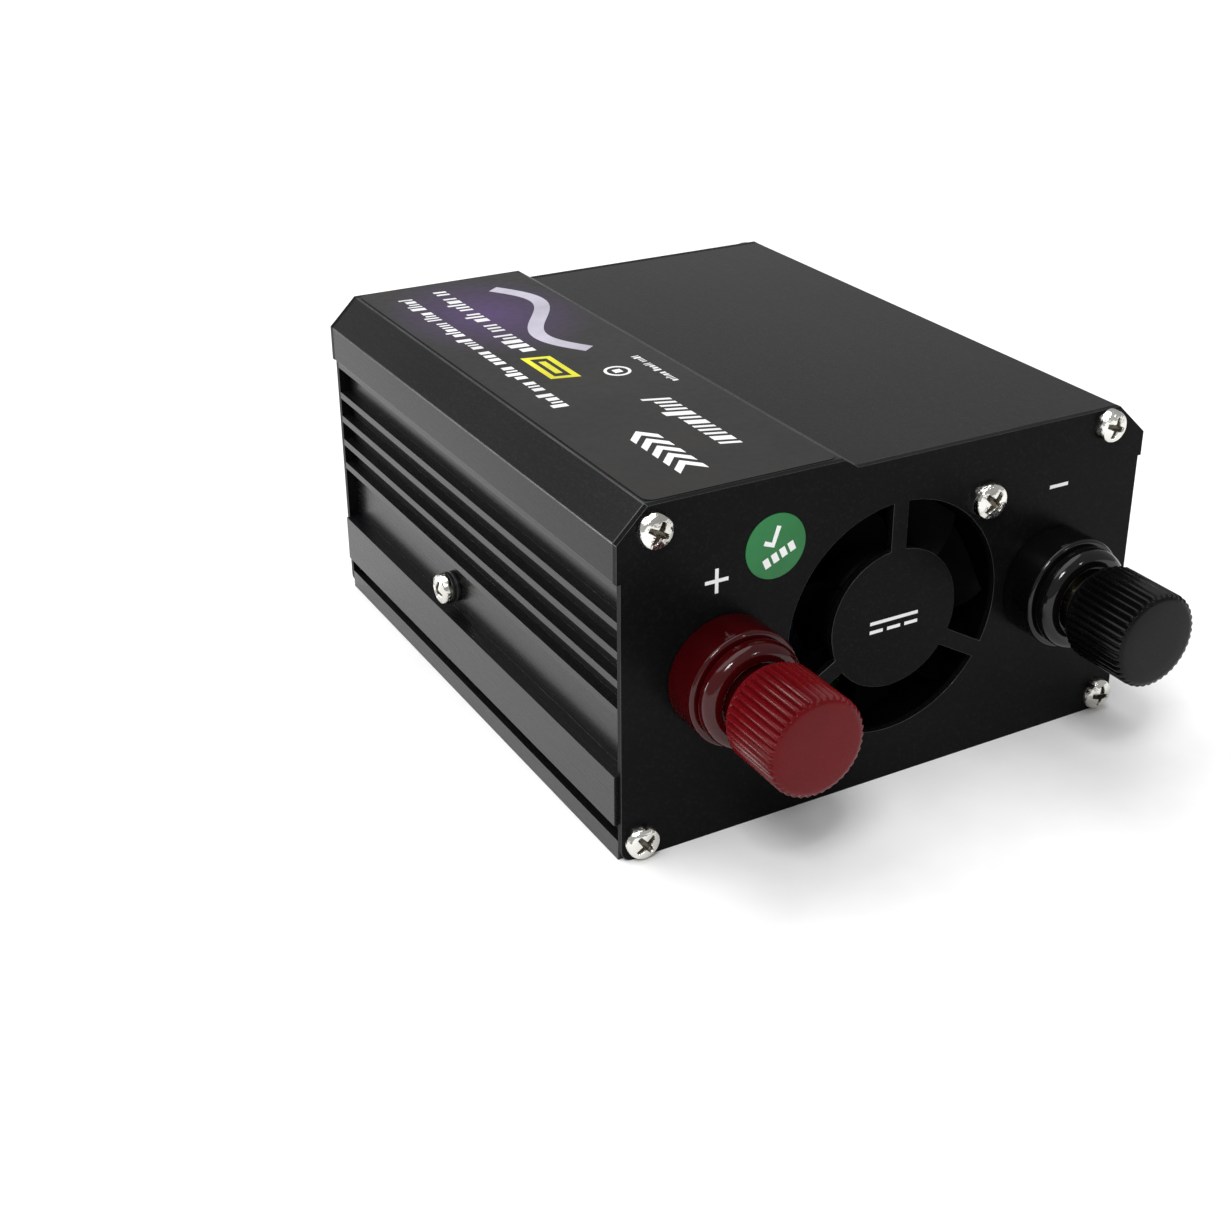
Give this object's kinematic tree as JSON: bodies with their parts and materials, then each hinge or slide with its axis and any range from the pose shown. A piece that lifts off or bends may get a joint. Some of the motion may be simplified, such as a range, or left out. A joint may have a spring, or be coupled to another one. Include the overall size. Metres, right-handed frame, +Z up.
{
  "type": "power inverter",
  "caption": "Compact low-voltage to mains power inverter: finned black extruded case, front plate with fan grille and red and black binding posts, rear plate with outlet and switch.",
  "frame": {"origin": "on the underside, at the middle of the case's width and length", "axes": "+Z up, -Y the way the front plate with the binding posts faces, +X to the right when looking at the front plate from the back of the room, that is along +Y"},
  "size_m": [0.0958, 0.1328, 0.0556],
  "materials": {
    "black_anodised": "satin black anodised",
    "nickel_screw": "bright nickel plated",
    "black_nylon": "satin",
    "label_film": "satin printed film",
    "green_sticker": "satin printed",
    "fan_plastic": "satin",
    "maroon_plastic": "glossy",
    "black_gloss": "glossy",
    "plated_brass": "nickel plated",
    "nylon_washer": "satin",
    "red_wire": "satin",
    "black_wire": "satin",
    "board_green": "solder mask",
    "zinc_steel": "zinc plated",
    "terminal_green": "glossy",
    "ferrite": "matt",
    "winding_tape": "polyester tape",
    "capacitor_sleeve": "shrink sleeve",
    "copper_winding": "enamelled copper",
    "fuse_plastic": "translucent",
    "chip_epoxy": "matt",
    "silicone_pad": "matt",
    "outlet_plastic": "satin",
    "contact_brass": "bright",
    "switch_plastic": "glossy",
    "rocker_plastic": "glossy",
    "usb_steel": "bright",
    "usb_white": "satin",
    "led_lens": "clear green"
  },
  "bodies": {
    "case": {"top_cover": "black_anodised", "lower_channel": "black_anodised", "front_plate": "black_anodised", "rear_plate": "black_anodised", "front_corner_screws": "nickel_screw", "rear_corner_screws": "nickel_screw", "fan_screws": "nickel_screw", "side_screws": "nickel_screw", "side_bushes": "black_nylon", "top_label": "label_film", "inspection_sticker": "green_sticker", "fan_frame": "fan_plastic", "red_post_base": "maroon_plastic", "black_post_base": "black_gloss", "red_post_stud": "plated_brass", "black_post_stud": "plated_brass", "red_post_nut": "plated_brass", "black_post_nut": "plated_brass", "red_ring_lug": "plated_brass", "black_ring_lug": "plated_brass", "red_post_insulator": "nylon_washer", "black_post_insulator": "nylon_washer", "red_supply_wire": "red_wire", "black_supply_wire": "black_wire", "circuit_board": "board_green", "board_standoffs": "zinc_steel", "board_screws": "nickel_screw", "wire_terminals": "terminal_green", "transformer_core": "ferrite", "transformer_winding": "winding_tape", "input_capacitors": "capacitor_sleeve", "bulk_capacitor": "capacitor_sleeve", "output_choke": "copper_winding", "blade_fuses": "fuse_plastic", "control_chips": "chip_epoxy", "left_transistors": "chip_epoxy", "right_transistors": "chip_epoxy", "insulating_pads": "silicone_pad", "clamp_bars": "zinc_steel", "outlet_housing": "outlet_plastic", "outlet_contacts": "contact_brass", "outlet_wires": "black_wire", "switch_frame": "switch_plastic", "switch_terminals": "contact_brass", "usb_shell": "usb_steel", "usb_tongue": "usb_white", "power_led": "led_lens"},
    "fan": {"fan_rotor": "fan_plastic"},
    "red_clamp": {"red_clamp_washer": "plated_brass"},
    "red_knob": {"red_knob": "maroon_plastic", "red_knob_insert": "plated_brass"},
    "black_clamp": {"black_clamp_washer": "plated_brass"},
    "black_knob": {"black_knob": "black_gloss", "black_knob_insert": "plated_brass"},
    "rocker": {"switch_rocker": "rocker_plastic"}
  },
  "joints": [
    {"name": "fan_spin", "type": "hinge", "parent": "case", "child": "fan", "pos_m": [0.0002, -0.0472, 0.0278], "axis": [0, -1, 0], "continuous": true},
    {"name": "red_knob_travel", "type": "slide", "parent": "case", "child": "red_clamp", "axis": [0, -1, 0], "range_m": [-0.0009, 0.004]},
    {"name": "red_knob_turn", "type": "hinge", "parent": "red_clamp", "child": "red_knob", "pos_m": [-0.03, -0.0638, 0.0272], "axis": [0, -1, 0], "range_deg": [-325, 1441]},
    {"name": "black_knob_travel", "type": "slide", "parent": "case", "child": "black_clamp", "axis": [0, -1, 0], "range_m": [-0.0009, 0.004]},
    {"name": "black_knob_turn", "type": "hinge", "parent": "black_clamp", "child": "black_knob", "pos_m": [0.03, -0.0638, 0.0272], "axis": [0, -1, 0], "range_deg": [-325, 1441]},
    {"name": "power_switch", "type": "hinge", "parent": "case", "child": "rocker", "pos_m": [-0.026, 0.0502, 0.036], "axis": [1, 0, 0], "range_deg": [0, 22]}
  ],
  "couplings": [
    {"joint": "red_knob_turn", "follows": "red_knob_travel", "rad_per_m": 6283.2},
    {"joint": "black_knob_turn", "follows": "black_knob_travel", "rad_per_m": 6283.2}
  ]
}
